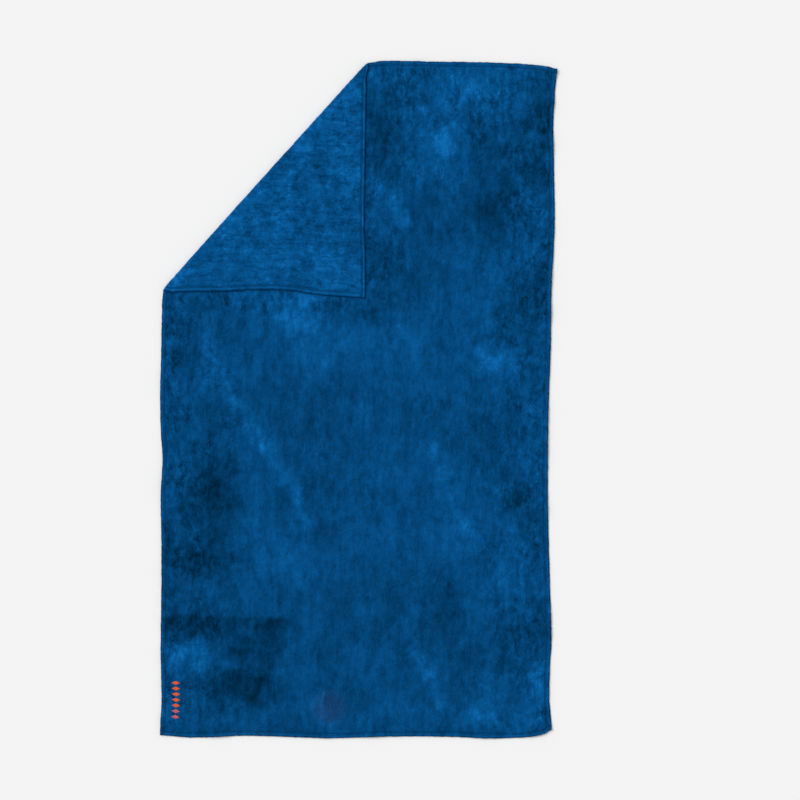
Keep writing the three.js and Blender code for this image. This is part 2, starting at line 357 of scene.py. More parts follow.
def lay_corner(flat):
    """Lays flat points of the corner down: round the crease and face down on the main panel."""
    u, v, w = flat.T
    inside, along = crease_side(u, v)
    on_fold = np.clip(inside, 0, FOLD_ARC)
    past = np.maximum(-inside, 0)
    # Round the fold the cloth's two ends close up, so that they meet the main panel's.
    low, high = CREASE[1] / CREASE[0] * on_fold, CREASE[0] / CREASE[1] * on_fold
    along = (along + low) * CREASE_LENGTH / (CREASE_LENGTH + low + high)
    along = along + FLAP_SHEAR * (past + (FOLD_ARC - on_fold) ** 2 / (2 * FOLD_ARC))
    angle = np.pi * (1 - on_fold / FOLD_ARC)
    ends = fade(np.abs(along), TUCK_REACH) - fade(np.abs(CREASE_LENGTH - along), TUCK_REACH)
    along = along + TUCK * ends * smooth(angle / np.pi) * fade(past, 2 * TUCK_REACH)
    fuzz = layered(along, past + on_fold, FOLD_FUZZ_SIZE, seed=47, layers=2, gain=0.8)
    radius = FOLD_RADIUS + THICKNESS / 2 - w + FOLD_FUZZ * fuzz * np.sin(angle)
    to_end = np.minimum(np.abs(along), np.abs(CREASE_LENGTH - along))
    bulge = radius * np.sin(angle) * (1 - FOLD_PINCH * np.exp(-((to_end / FOLD_PINCH_REACH) ** 2)))
    across = past * FLAP_STRETCH - bulge
    spring = FOLD_SPRING * np.exp(-((past / SPRING_REACH) ** 2))
    z = np.where(inside > 0, FOLD_CENTRE - radius * np.cos(angle), FLAP_FLOOR + spring + THICKNESS - w)
    x = P[0] + CREASE[0] * along + INWARD[0] * across
    y = P[1] + CREASE[1] * along + INWARD[1] * across
    dx, dy = wander(x, y)
    # The towel's left edge now lies along the flap's lower side, its top edge down the flap's right.
    from_side, from_end = u - LEFT, TOP - v
    side_share, end_share = 1 - from_end / (TOP - P[1]), 1 - from_side / (Q[0] - LEFT)
    side_pull = MM * curve_through(FLAP_SIDE_WANDER, side_share) * fade(from_side, FLAP_REACH)
    end_pull = MM * curve_through(FLAP_TOP_WANDER, end_share) * fade(from_end, FLAP_REACH)
    wave_side, wave_end, up = hem_wave(u, v, from_side, from_end)
    settled = smooth(past / SETTLE_REACH)
    curled = FLAP_CURL_BASE + ripples(u, v, FLAP_CURL_SIZE, seed=43)
    curl = FLAP_CURL * np.maximum(0, curled)
    up = up + curl * fade(np.minimum(from_side, from_end), FLAP_CURL_REACH) + flap_lift(u, v)
    up = FLAP_CURL_MOST * np.tanh((lift(x, y) + up * smooth(past / RISE_REACH)) / FLAP_CURL_MOST)
    return np.stack(
        [
            x + dx + end_pull * settled + wave_end * settled,
            y + dy - side_pull * settled - wave_side * settled,
            np.where(inside > 0, z + lift(x, y), np.maximum(z + up, FLAP_FLOOR)),
        ],
        axis=1,
    )


LAY = {MAIN: lay_main, CORNER: lay_corner}


# ---------------- which way the pile leans
# Stroked one way the plush looks light, and the other way dark. A few marks stand out on the main
# panel. Places on it are shares of its width and length, from its bottom left corner.

# Where a hand brushed it: the middle (shares), the half size (m) and how light it is, -1 is dark.
HAND_MARKS = [
    ((0.76, 0.96), (0.09, 0.07), 0.9),
    ((0.72, 0.88), (0.05, 0.04), 1.2),
    ((0.35, 0.63), (0.05, 0.06), 1.4),
    ((0.39, 0.56), (0.05, 0.08), 0.8),
    ((0.56, 0.59), (0.15, 0.06), 0.4),
    ((0.85, 0.55), (0.05, 0.04), 1.1),
    ((0.30, 0.25), (0.10, 0.05), 0.4),
    ((0.74, 0.30), (0.05, 0.09), 0.4),
    ((0.91, 0.27), (0.05, 0.08), 0.5),
    ((0.08, 0.12), (0.07, 0.03), 0.9),
    ((0.80, 0.03), (0.06, 0.03), 0.8),
    ((0.98, 0.08), (0.02, 0.05), 0.9),
    ((0.57, 0.90), (0.05, 0.11), -0.7),
    ((0.97, 0.90), (0.03, 0.10), -0.9),
    ((0.92, 0.83), (0.08, 0.05), -0.5),
    ((0.86, 0.77), (0.07, 0.06), -0.9),
    ((0.96, 0.68), (0.03, 0.12), -0.6),
    ((0.13, 0.37), (0.07, 0.10), -1.2),
    ((0.93, 0.36), (0.05, 0.05), -0.7),
    ((0.12, 0.26), (0.09, 0.09), -1.0),
    ((0.74, 0.21), (0.06, 0.07), -0.7),
    ((0.08, 0.17), (0.08, 0.04), -0.5),
    ((0.24, 0.14), (0.07, 0.05), -1.0),
    ((0.20, 0.07), (0.13, 0.05), -1.3),
]
# Where a finger was drawn over it: the line's points (shares), its half width (m) and how light it is.
FINGER_MARKS = [
    (((0.11, 0.59), (0.20, 0.49), (0.28, 0.42), (0.35, 0.36), (0.37, 0.31)), 0.019, 0.8),
    (((0.70, 0.43), (0.76, 0.33), (0.79, 0.30)), 0.018, 0.9),
    (((0.62, 0.17), (0.65, 0.13), (0.72, 0.05)), 0.017, 1.2),
    (((0.56, 0.82), (0.60, 0.80), (0.62, 0.76)), 0.016, 0.9),
]
# Where it was folded for storage, the pile below the line is pressed dark: its two ends (shares).
STORAGE_FOLD = ((0.0, 0.18), (0.30, 0.18))
FOLD_DARKENS = 0.7
FOLD_SHARPNESS, FOLD_FADES, FOLD_END_FADES = 0.006, 0.08, 0.05  # at its line, below it, past it
RUFFLE_REACH = 0.24  # the pile is more ruffled within this distance of an edge
PLATEAU_CRISPNESS = 3  # of the borders between light and dark
MAIN_TONE, CORNER_TONE = 0.11, 0.60  # how light the two faces are where nothing has brushed them


def place(share):
    """The point at shares of the towel's width and length."""
    return LEFT + share[0] * (RIGHT - LEFT), BOTTOM + share[1] * (TOP - BOTTOM)


def hand_marks_at(x, y):
    """How much lighter the hand marks make the pile at a point."""
    total = 0
    for middle, half_size, light in HAND_MARKS:
        px, py = place(middle)
        spread = ((x - px) / half_size[0]) ** 2 + ((y - py) / half_size[1]) ** 2
        total = total + light * np.exp(-(spread**1.5))
    return total


def finger_marks_at(x, y):
    """The same for the finger marks."""
    total = 0
    for line, half_width, light in FINGER_MARKS:
        points = [place(share) for share in line]
        away = np.min([line_distance(x, y, a, b)[0] for a, b in zip(points, points[1:])], axis=0)
        total = total + light * np.exp(-((away / half_width) ** 2))
    return total


def storage_fold_at(x, y):
    """The same for the storage fold."""
    start, end = (place(share) for share in STORAGE_FOLD)
    below = start[1] - y
    darkened = smooth(below / FOLD_SHARPNESS) * fade(below, FOLD_FADES)
    return -FOLD_DARKENS * darkened * fade(x - end[0], FOLD_END_FADES)


def ragged(x, y, size, reach, seed):
    """The point moved about by up to about reach, so that what is drawn there gets ragged borders."""
    shift_x = layered(x, y, size, seed, layers=4, gain=0.7)
    shift_y = layered(x, y, size, seed + 5, layers=4, gain=0.7)
    return x + reach * shift_x, y + reach * shift_y


def crushed(x, y, size, seed):
    """Plateaus of light and dark with crisp, ragged borders, as crushed pile has, from -1 to 1."""
    x, y = ragged(x, y, size=0.8 * size, reach=0.4 * size, seed=seed + 50)
    return np.tanh(PLATEAU_CRISPNESS * layered(x, y, size, seed, layers=4, gain=0.75))


def ruffled(u, v):
    """How ruffled the pile is: more beside the edges and the flap, and less in the towel's middle."""
    from_edge = np.minimum(np.minimum(u - LEFT, RIGHT - u), 0.5 * (TOP - v))
    edge = fade(from_edge + 0.06 * layered(u, v, size=0.1, seed=55, layers=2), RUFFLE_REACH)
    from_flap = np.hypot(np.maximum(u - TIP[0], 0), 2 * np.maximum(TIP[1] - v, 0))
    edge = np.maximum(edge, fade(from_flap, 0.6 * RUFFLE_REACH))
    patchy = np.clip(0.8 + 0.9 * layered(u, v, size=0.09, seed=57, gain=0.7), 0.25, 1.5)
    return 0.3 + 0.7 * edge * patchy


def ruffled_corner(u):
    """The same for the corner's upper face: smoother towards its lower side."""
    return 0.4 + 0.3 * smooth((u - LEFT) / RUFFLE_REACH)


def brushed_main(u, v):
    """How light the front pile of the main panel is: 0 in the middle, 1 light, -1 dark."""
    marks = hand_marks_at(*ragged(u, v, size=0.085, reach=0.042, seed=61))
    broken = np.clip(0.75 + 1.1 * layered(u, v, size=0.085, seed=66, layers=4, gain=0.8), 0.3, 1.5)
    lines = broken * finger_marks_at(*ragged(u, v, size=0.05, reach=0.014, seed=62))
    folded = storage_fold_at(*ragged(u, v, size=0.06, reach=0.006, seed=63))
    broad = 0.36 * layered(u, v / 1.3, size=0.19, seed=68, layers=2, gain=0.6)
    mottle = 0.30 * crushed(u, 0.7 * v, size=0.10, seed=71)
    mottle = mottle + 0.30 * crushed(u / 0.8, v / 1.4, size=0.045, seed=77)
    mottle = mottle + 0.22 * crushed(u / 0.8, v / 1.5, size=0.022, seed=79)
    mottle = mottle * (0.6 + 0.4 * ruffled(u, v))
    streaks = 0.22 * layered(u / 0.5, v / 2.4, size=0.06, seed=83, gain=0.8)
    return MAIN_TONE + marks + lines + folded + broad + mottle + streaks


def brushed_corner(u, v):
    """The same for the corner's upper face, the back of the cloth: lighter, most so by the crease."""
    inside, _ = crease_side(u, v)
    by_crease = 0.30 * fade(-inside, width=0.12) + 0.20 * fade(u - LEFT, width=0.20)
    streaks = 0.26 * layered(u / 0.5, v / 1.6, size=0.045, seed=101, gain=0.9)
    mottle = 0.30 * crushed(u, v, size=0.13, seed=113)
    mottle = mottle + 0.35 * crushed(u, v, size=0.05, seed=107)
    mottle = mottle + 0.22 * crushed(u, v / 1.4, size=0.021, seed=117)
    return CORNER_TONE + by_crease + streaks + mottle


# ---------------- meshes


def new_piece(name, body, slot_name, material, replaced, flat, faces, **fields):
    """Adds a piece, laid down with smooth faces that look outwards.

    Its flat points and the fields' values are kept for its material. The corner's pieces bend at
    the crease.
    """
    mesh = bpy.data.meshes.new(name)
    mesh.from_pydata(LAY[body](flat).tolist(), [], faces)
    layer = mesh.attributes.new("flat", "FLOAT_VECTOR", "POINT")
    layer.data.foreach_set("vector", flat.astype(np.float32).ravel())
    for key, values in fields.items():
        layer = mesh.attributes.new(key, "FLOAT", "POINT")
        layer.data.foreach_set("value", values.astype(np.float32))
    shape = bmesh.new()
    shape.from_mesh(mesh)
    bmesh.ops.recalc_face_normals(shape, faces=shape.faces)
    shape.to_mesh(mesh)
    shape.free()
    mesh.polygons.foreach_set("use_smooth", np.ones(len(mesh.polygons), bool))
    mesh.materials.append(material)
    mesh.update()
    obj = bpy.data.objects.new(name, mesh)
    bpy.context.scene.collection.objects.link(obj)
    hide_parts(*replaced)
    if body == MAIN:
        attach(obj, MAIN)
    else:
        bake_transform(obj)
    return obj


HEM_INNER_WALL = HEM_WIDTH + 0.3 * MM  # where the hem ends and the full pile begins
PILE_RISE = 2.6 * MM  # how far the pile takes to reach its full height beside the hem
# Where the grids' lines lie closer together: from just outside that wall to past the pile's rise.
EDGE_LINES = np.array([0, 0.7, 1.4, 2.2, 3.2, 5.2, 8]) * MM + HEM_INNER_WALL - 0.6 * MM
TUFT_SIZE, TUFT_DEPTH = 11 * MM, 0.7 * MM
FRONT_CELL, BACK_CELL, CORNER_CELL = 4.7 * MM, 11 * MM, 3.6 * MM
CORNER_GRID_MARGIN = 0.03  # the corner's grid starts this far past the crease's ends
FOLD_BENDS = 10  # strips that go round the fold, with three more beside them on the corner
FRONT_COMBED, BACK_COMBED = 0.3, 0.6  # how clearly combed the two faces' pile is


def grid_lines(low, high, cell, low_hem=True, high_hem=True):
    """Grid lines from low to high, closer together beside a hem."""
    start = low + EDGE_LINES if low_hem else np.array([low])
    end = high - EDGE_LINES[::-1] if high_hem else np.array([high])
    count = max(2, round((end[0] - start[-1]) / cell))
    return np.concatenate([start, np.linspace(start[-1], end[0], count + 1)[1:-1], end])


def flat_grid(us, vs, limit, keep_main, cuts=()):
    """A grid of flat points, cut off along the line that lies limit to the main side of the crease.

    Returns the points, the faces and the numbers of the outline's points. cuts are more distances
    from the crease at which the grid is split, so that it can bend there.
    """
    shape = bmesh.new()
    rows = [[shape.verts.new((u, v, 0)) for u in us] for v in vs]
    for low_row, high_row in zip(rows, rows[1:]):
        for i in range(len(us) - 1):
            shape.faces.new((low_row[i], low_row[i + 1], high_row[i + 1], high_row[i]))
    main_side = Vector((INWARD[0], INWARD[1], 0))
    for distance in (limit, *cuts):
        bmesh.ops.bisect_plane(
            shape,
            geom=[*shape.verts, *shape.edges, *shape.faces],
            dist=1e-7,
            plane_co=Vector((P[0], P[1], 0)) + main_side * distance,
            plane_no=main_side,
            clear_inner=keep_main and distance == limit,
            clear_outer=not keep_main and distance == limit,
        )
    shape.verts.index_update()
    points = np.array([v.co[:] for v in shape.verts])
    faces = [[v.index for v in f.verts] for f in shape.faces]
    rim = np.array([v.index for v in shape.verts if v.is_boundary])
    shape.free()
    return points, faces, rim


def joined_rims(upper, lower, points):
    """Triangles between two rims, which go round the same outline."""
    middle = points[upper].mean(0)
    rims, steps = [], []
    for side, rim in enumerate((upper, lower)):
        turn = np.arctan2(points[rim, 1] - middle[1], points[rim, 0] - middle[0])
        order = np.argsort(turn)
        rims.append(rim[order])
        steps += [(angle, side) for angle in (*turn[order][1:], turn.min() + 2 * math.pi)]
    faces, at = [], [0, 0]
    for _, side in sorted(steps):
        here = [int(rims[k][at[k] % len(rims[k])]) for k in (0, 1)]
        at[side] += 1
        faces.append([*here, int(rims[side][at[side] % len(rims[side])])])
    return faces


def tufts(u, v):
    """The lumpy top of the pile: how far it lies below its highest, from 0 to 1."""
    lumps = layered(u, v, TUFT_SIZE, seed=121, layers=2, gain=0.7)
    return np.clip(0.45 - 0.42 * lumps, 0, 1)


def pile_height(from_edge, u, v, tufted):
    """How far a face of the cloth is from its middle layer, at a distance from the sewn edge."""
    full = THICKNESS / 2 - TUFT_DEPTH * tufted * tufts(u, v)
    pressed = THICKNESS / 8
    return pressed + (full - pressed) * smooth((from_edge - HEM_INNER_WALL) / PILE_RISE)


def cloth_shell(front, back, from_edge, back_tufts):
    """One closed sheet from a front and a back grid, as flat points and faces.

    from_edge gives the distance from the sewn edges, and back_tufts is 1 for a tufted back or 0.
    """
    layers = []
    for (points, _, _), away, tufted in ((front, 1, 1), (back, -1, back_tufts)):
        u, v = points[:, 0], points[:, 1]
        w = THICKNESS / 2 + away * pile_height(from_edge(u, v), u, v, tufted)
        layers.append(np.stack([u, v, w], axis=1))
    points, offset = np.concatenate(layers), len(layers[0])
    faces = front[1] + [[i + offset for i in face] for face in back[1]]
    return points, faces + joined_rims(front[2], back[2] + offset, points)


def from_main_edge(u, v):
    return np.minimum(np.minimum(u - LEFT, RIGHT - u), np.minimum(v - BOTTOM, TOP - v))


def from_corner_edge(u, v):
    return np.minimum(u - LEFT, TOP - v)


def plush_main(material):
    """The main panel: one closed sheet, tufted on its front, with a hollow for the care patch."""
    grids = []
    for cell in (FRONT_CELL, BACK_CELL):
        us, vs = grid_lines(LEFT, RIGHT, cell), grid_lines(BOTTOM, TOP, cell)
        grids.append(flat_grid(us, vs, limit=0, keep_main=True))
    flat, faces = cloth_shell(*grids, from_main_edge, back_tufts=0)
    u, v, w = flat.T
    from_patch = np.hypot(u - PATCH_CENTRE[0], v - PATCH_CENTRE[1])
    hollow = PATCH_HOLLOW * fade(from_patch - PATCH_RADIUS - BACK_CELL, 2 * BACK_CELL)
    flat[:, 2] = np.where(w < THICKNESS / 2, np.maximum(w, hollow), w)
    ring = np.exp(-(((from_patch - PATCH_RADIUS) / PATCH_RING_WIDTH) ** 2))
    blotchy = 1 + layered(u, v, size=9 * MM, seed=171, layers=2, gain=0.8)
    by_patch = fade(from_patch - 0.5 * PATCH_RADIUS, 0.8 * PATCH_RADIUS)
    return new_piece(
        "plush_main", MAIN, "plush", material, ["cloth_main"], flat, faces,
        brushed=brushed_main(u, v) + PATCH_RING_LIGHT * ring,
        ruffled=ruffled(u, v),
        combed=np.full_like(u, FRONT_COMBED),
        tint=PATCH_TINT_AMOUNT * blotchy * by_patch,
    )


def plush_corner(material):
    """The folded corner with the strip that goes round the fold: one sheet, tufted on both faces."""
    us = grid_lines(LEFT, Q[0] + CORNER_GRID_MARGIN, CORNER_CELL, high_hem=False)
    vs = grid_lines(P[1] - CORNER_GRID_MARGIN, TOP, CORNER_CELL, low_hem=False)
    bends = [FOLD_ARC * k / FOLD_BENDS for k in range(FOLD_BENDS)] + [-2 * MM, -5 * MM, -9 * MM]
    grid = flat_grid(us, vs, limit=FOLD_ARC, keep_main=False, cuts=bends)
    flat, faces = cloth_shell(grid, grid, from_corner_edge, back_tufts=1)
    u, v, w = flat.T
    front = w > THICKNESS / 2
    front_brushed = 0.3 * layered(u, 0.6 * v, size=0.075, seed=71, gain=0.75)
    return new_piece(
        "plush_corner", CORNER, "plush", material, ["cloth_corner"], flat, faces,
        brushed=np.where(front, front_brushed, brushed_corner(u, v)),
        ruffled=np.where(front, ruffled(u, v), ruffled_corner(u)),
        combed=np.where(front, FRONT_COMBED, BACK_COMBED),
        tint=np.zeros_like(u),
    )


# ---------------- hems and seams


class Edge:
    """One straight side of the flat towel, from its start, with its cloth on its left."""

    def __init__(self, start, along, length):
        self.start, self.along, self.length = np.array(start), np.array(along, float), length
        self.inwards = np.array([-self.along[1], self.along[0]])

    def flat(self, s, d, w):
        """Flat points s along the edge and d in from it."""
        s, d, w = np.broadcast_arrays(s, d, w)
        uv = self.start + s[..., None] * self.along + d[..., None] * self.inwards
        return np.concatenate([uv, w[..., None]], axis=-1)

    def at_crease(self, d, inside):
        """How far along it a line d in from the edge is inside past the crease."""
        start_inside = (self.start - P) @ INWARD
        return (inside - start_inside - d * (self.inwards @ INWARD)) / (self.along @ INWARD)

    def reaches(self, mark, d):
        """How far along it a line d in from the edge comes to what a stretch starts or ends at."""
        if mark == "crease":
            return self.at_crease(d, 0)
        if mark == "end of fold":
            return self.at_crease(d, FOLD_ARC)
        whole = {
            "start": 0,
            "hem at start": AGAINST_HEM,
            "hem at end": self.length - AGAINST_HEM,
            "end": self.length,
        }
        return np.full_like(d, whole[mark])


EDGES = {
    "bottom": Edge((LEFT, BOTTOM), (1, 0), RIGHT - LEFT),
    "right": Edge((RIGHT, BOTTOM), (0, 1), TOP - BOTTOM),
    "top": Edge((RIGHT, TOP), (-1, 0), RIGHT - LEFT),
    "left": Edge((LEFT, TOP), (0, -1), TOP - BOTTOM),
}
AGAINST_HEM = HEM_WIDTH + 0.3 * MM  # where a side's hem stops, beside the hem that runs through
NEEDLE_ROWS = (8.4 * MM, 11.4 * MM)  # how far in from the edge the two needle rows lie
# The hem's section: distance in from the edge and height in the cloth (mm), from the outer fold
# over the front, with a dent at each row of stitches, and back along the underside.
HEM_SECTION = [
    (0.0, 2.0), (0.25, 3.0), (1.1, 3.75), (2.6, 4.2), (4.8, 4.4), (7.0, 4.2), (8.4, 3.4), (9.9, 3.9),
    (11.4, 3.3), (12.0, 2.9), (12.1, 2.0), (12.0, 1.0), (11.4, 0.6), (9.9, 0.4), (8.4, 0.6), (7.0, 0.2),
    (4.8, 0.0), (2.6, 0.1), (1.1, 0.4), (0.25, 1.1),
]
HEM_TURN = 10  # the number of its innermost point, where the front ends and the underside begins
# Each stretch of hem: its name, its body, its edge, and what it starts and ends at.
STRETCHES = [
    ("bottom", MAIN, "bottom", "start", "end"),
    ("right", MAIN, "right", "hem at start", "hem at end"),
    ("top", MAIN, "top", "start", "crease"),
    ("left", MAIN, "left", "crease", "hem at end"),
    ("corner_top", CORNER, "top", "end of fold", "end"),
    ("corner_left", CORNER, "left", "hem at start", "end of fold"),
]
HEM_STEP = 2.6 * MM
# How lumpy and how frayed a hem is, with the sizes of both
HEM_LUMP, HEM_LUMP_SIZE = 0.35 * MM, 6 * MM
HEM_FRINGE, HEM_FRINGE_SIZE, HEM_FRINGE_REACH = 0.55 * MM, 4.5 * MM, 1.2 * MM
HEM_RUFFLED = 0.6


def tube_faces(rings, sides):
    """Faces of a closed tube of so many rings, each of so many points, with a face at both ends."""
    ring, side = np.meshgrid(np.arange(rings - 1), np.arange(sides), indexing="ij")
    after = (side + 1) % sides
    first, second = ring * sides + side, ring * sides + after
    quads = np.stack([first, second, second + sides, first + sides], -1)
    ends = [list(range(sides)), [(rings - 1) * sides + k for k in reversed(range(sides))]]
    return quads.reshape(-1, 4).tolist() + ends


# How light the hem is at a distance in from the edge (mm), with painted shade: dark at its rounded
# fold, standing in for the shade and shadow there, and dark in the dent along each row of stitches.
HEM_TONES = [(0, -1.0), (2.0, -0.5), (4.4, 0.6), (6.6, 0.5), (8.4, -0.8), (9.9, 0.5),
             (11.4, -0.9), (12.1, -0.9)]


def hem_tone(u, v, d, body):
    """The hem's pile is pressed flat, and takes after the cloth beside it, with painted shade at its fold
    and stitch rows.
    """
    beside = 0.5 * (brushed_main(u, v) if body == MAIN else brushed_corner(u, v))
    patchy = 0.55 * layered(u, v, size=0.035, seed=131, gain=0.8)
    return np.interp(d / MM, *np.array(HEM_TONES).T) + beside + patchy


def sewn_hem(name, body, edge, start, end, material):
    """A stretch of hem: its section led along the edge, plump and slightly fringed."""
    section = np.array(HEM_SECTION) * MM
    d, w = section.T
    starts, ends = edge.reaches(start, d), edge.reaches(end, d)
    rings = int((ends - starts).max() / HEM_STEP)
    share = np.linspace(0, 1, rings)[:, None]
    s = starts + (ends - starts) * share
    flat = edge.flat(s, d, w)
    u, v = flat[..., 0], flat[..., 1]
    plump = np.sin(np.pi * np.clip(d / NEEDLE_ROWS[0], 0, 1)) * (w > THICKNESS / 2)
    raised = HEM_LUMP * plump * ripples(u, v, HEM_LUMP_SIZE, seed=141)
    frayed = ripples(u, v, HEM_FRINGE_SIZE, seed=142)
    fringe = HEM_FRINGE * np.exp(-d / HEM_FRINGE_REACH) * frayed
    flat = edge.flat(s, d + fringe, w + raised).reshape(-1, 3)
    # tone holds the hem's painted shade at its fold and along its stitch rows
    tone = hem_tone(flat[:, 0], flat[:, 1], np.broadcast_to(d, (rings, len(d))).ravel(), body)
    faces, zero = tube_faces(rings, len(section)), np.zeros_like(tone)
    return new_piece(
        "sewn_hem_" + name, body, "hem", material, ["hem_" + name], flat, faces,
        brushed=tone, ruffled=np.full_like(tone, HEM_RUFFLED), combed=zero, tint=zero,
    )


def hem_face(d, front):
    """The height of the hem's front or back face at a distance in from the edge."""
    section = np.array(HEM_SECTION) * MM
    half = section[: HEM_TURN + 1] if front else section[: HEM_TURN - 1 : -1]
    return np.interp(d, half[:, 0], half[:, 1])


THREAD_SIDES = 6
THREAD_TURN = 2 * math.pi * np.arange(THREAD_SIDES) / THREAD_SIDES
THREAD_WIDTH, THREAD_HEIGHT = 0.75 * MM, 0.5 * MM
THREAD_END = 0.98  # a thread is tapered up to here, which is just short of a point


def stitches(name, node, body, edge, front, paths, width, material):
    """A piece of closed flat tubes along paths of (s, d, rise) points on a face of the hem."""
    flats, faces, offset = [], [], 0
    for path in paths:
        s, d, rise = np.array(path).T
        count = len(s)
        ds, dd = np.gradient(s), np.gradient(d)
        norm = np.hypot(ds, dd)
        side_s, side_d = -dd / norm, ds / norm
        taper = np.sqrt(np.clip(1 - np.linspace(-THREAD_END, THREAD_END, count) ** 8, 0, 1))[:, None]
        across = 0.5 * width * taper * np.cos(THREAD_TURN)
        up = 0.5 * THREAD_HEIGHT * taper * np.sin(THREAD_TURN) + rise[:, None]
        ring_s = s[:, None] + side_s[:, None] * across
        ring_d = d[:, None] + side_d[:, None] * across
        base = hem_face(ring_d, front)
        flat = edge.flat(ring_s, ring_d, base + up if front else base - up)
        flats.append(flat.reshape(-1, 3))
        faces += [[i + offset for i in face] for face in tube_faces(count, THREAD_SIDES)]
        offset += count * THREAD_SIDES
    return new_piece(name, body, "seam_thread", material, [node], np.concatenate(flats), faces)


STITCH_PITCH, STITCH_LENGTH = 3.3 * MM, 2.7 * MM
STITCH_RISE, STITCH_SINK = 0.12 * MM, 0.32 * MM
NEEDLE_END_GAP, LOOPER_END_GAP = 2 * MM, 3 * MM  # between a seam's end and its stretch's end
LOOPER_STEPS = 6  # points in each zigzag
LOOPER_WAVE = 0.05 * MM  # how much higher it crosses one way, and lower the other way


def needle_stitches(name, body, edge, start, end, material):
    """Two rows of short stitches that sink into the hem at both their ends."""
    along = np.linspace(0, 1, 5)
    rise = STITCH_RISE - STITCH_SINK * (2 * along - 1) ** 4
    paths = []
    for d in NEEDLE_ROWS:
        low, high = edge.reaches(start, d) + NEEDLE_END_GAP, edge.reaches(end, d) - NEEDLE_END_GAP
        for s in np.arange(low, high - STITCH_LENGTH, STITCH_PITCH):
            paths.append(np.stack([s + STITCH_LENGTH * along, np.full_like(along, d), rise], axis=1))
    piece, node = "needle_stitches_" + name, "needle_thread_" + name
    return stitches(piece, node, body, edge, True, paths, THREAD_WIDTH, material)


def looper_stitches(name, body, edge, start, end, material):
    """The thread that zigzags between the two needle rows on the back of the hem."""
    near, far = NEEDLE_ROWS
    middle = (near + far) / 2
    low = max(edge.reaches(start, d) for d in NEEDLE_ROWS) + LOOPER_END_GAP
    high = min(edge.reaches(end, d) for d in NEEDLE_ROWS) - LOOPER_END_GAP
    s = np.arange(low, high, STITCH_PITCH / LOOPER_STEPS)
    turn = 2 * math.pi * (s - low) / STITCH_PITCH
    d = middle + (far - near) / 2 * np.sin(turn)
    path = np.stack([s, d, STITCH_RISE + LOOPER_WAVE * np.cos(turn)], axis=1)
    piece, node = "looper_stitches_" + name, "looper_thread_" + name
    return stitches(piece, node, body, edge, False, [path], THREAD_WIDTH, material)


# Each tack: its name, its body, the edge that it lies on and whether it lies at that edge's end.
TACKS = [("left_bottom", MAIN, "bottom", False), ("bottom_right", MAIN, "bottom", True),
         ("right_top", MAIN, "top", False), ("top_left", CORNER, "top", True)]
TACK_NEAR, TACK_FAR, TACK_PITCH = 2.2 * MM, 10.8 * MM, 1.05 * MM
TACK_WIDTH, TACK_RISE, TACK_WOBBLE = 1.0 * MM, 0.15 * MM, 0.3 * MM
TACK_BAR_INSET, TACK_BAR_RISE = 0.8 * MM, 0.5 * MM


def corner_tack(name, body, edge, at_end, material):
    """A close block of stitches over two crossing hems, with two bars across it."""
    along = np.linspace(0, 1, 9)
    right_across = TACK_NEAR + (TACK_FAR - TACK_NEAR) * along
    level = np.ones_like(along)
    lines = []
    for d in np.arange(TACK_NEAR, TACK_FAR, TACK_PITCH):
        lines.append((right_across, d + TACK_WOBBLE * np.sin(9 * along), TACK_RISE * level))
    for s in (TACK_NEAR + TACK_BAR_INSET, TACK_FAR - TACK_BAR_INSET):
        lines.append((s * level, right_across, TACK_BAR_RISE * level))
    paths = [np.stack([edge.length - s if at_end else s, d, rise], axis=1) for s, d, rise in lines]
    piece, node = "corner_tack_" + name, "tack_" + name
    return stitches(piece, node, body, edge, True, paths, TACK_WIDTH, material)


# ---------------- mark and care patch

PATCH_LOW, PATCH_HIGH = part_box("care_patch")
PATCH_CENTRE = ((PATCH_LOW.x + PATCH_HIGH.x) / 2, (PATCH_LOW.y + PATCH_HIGH.y) / 2)
PATCH_RADIUS = (PATCH_HIGH.x - PATCH_LOW.x) / 2
PATCH_HOLLOW = 0.9 * MM
PATCH_RING_WIDTH, PATCH_RING_LIGHT = 7 * MM, 0.3  # its edge shows on the front as a lighter ring
PATCH_TINT_AMOUNT, PATCH_SIDES = 0.10, 72
# Its section from the middle over the welded rim and back: shares of its radius, and heights (mm).
PATCH_PROFILE = [(0.02, 0.45), (0.5, 0.45), (0.86, 0.45), (0.9, 0.6), (0.96, 0.6), (1, 0.3),
                 (0.97, 0.02), (0.5, 0.0), (0.02, 0.0)]
SATIN_PITCH, SATIN_RINGS = 0.72 * MM, 9
SATIN_RISE = 0.75 * MM
SATIN_OVERSHOOT, SATIN_UNEVENNESS = 0.5 * MM, 0.25 * MM  # of the threads past the outline
SATIN_FULL_LENGTH = 3 * MM  # shorter threads arch less
SATIN_SINK, SATIN_HALF_HEIGHT, SATIN_END = 0.2 * MM, 0.3 * MM, 0.97


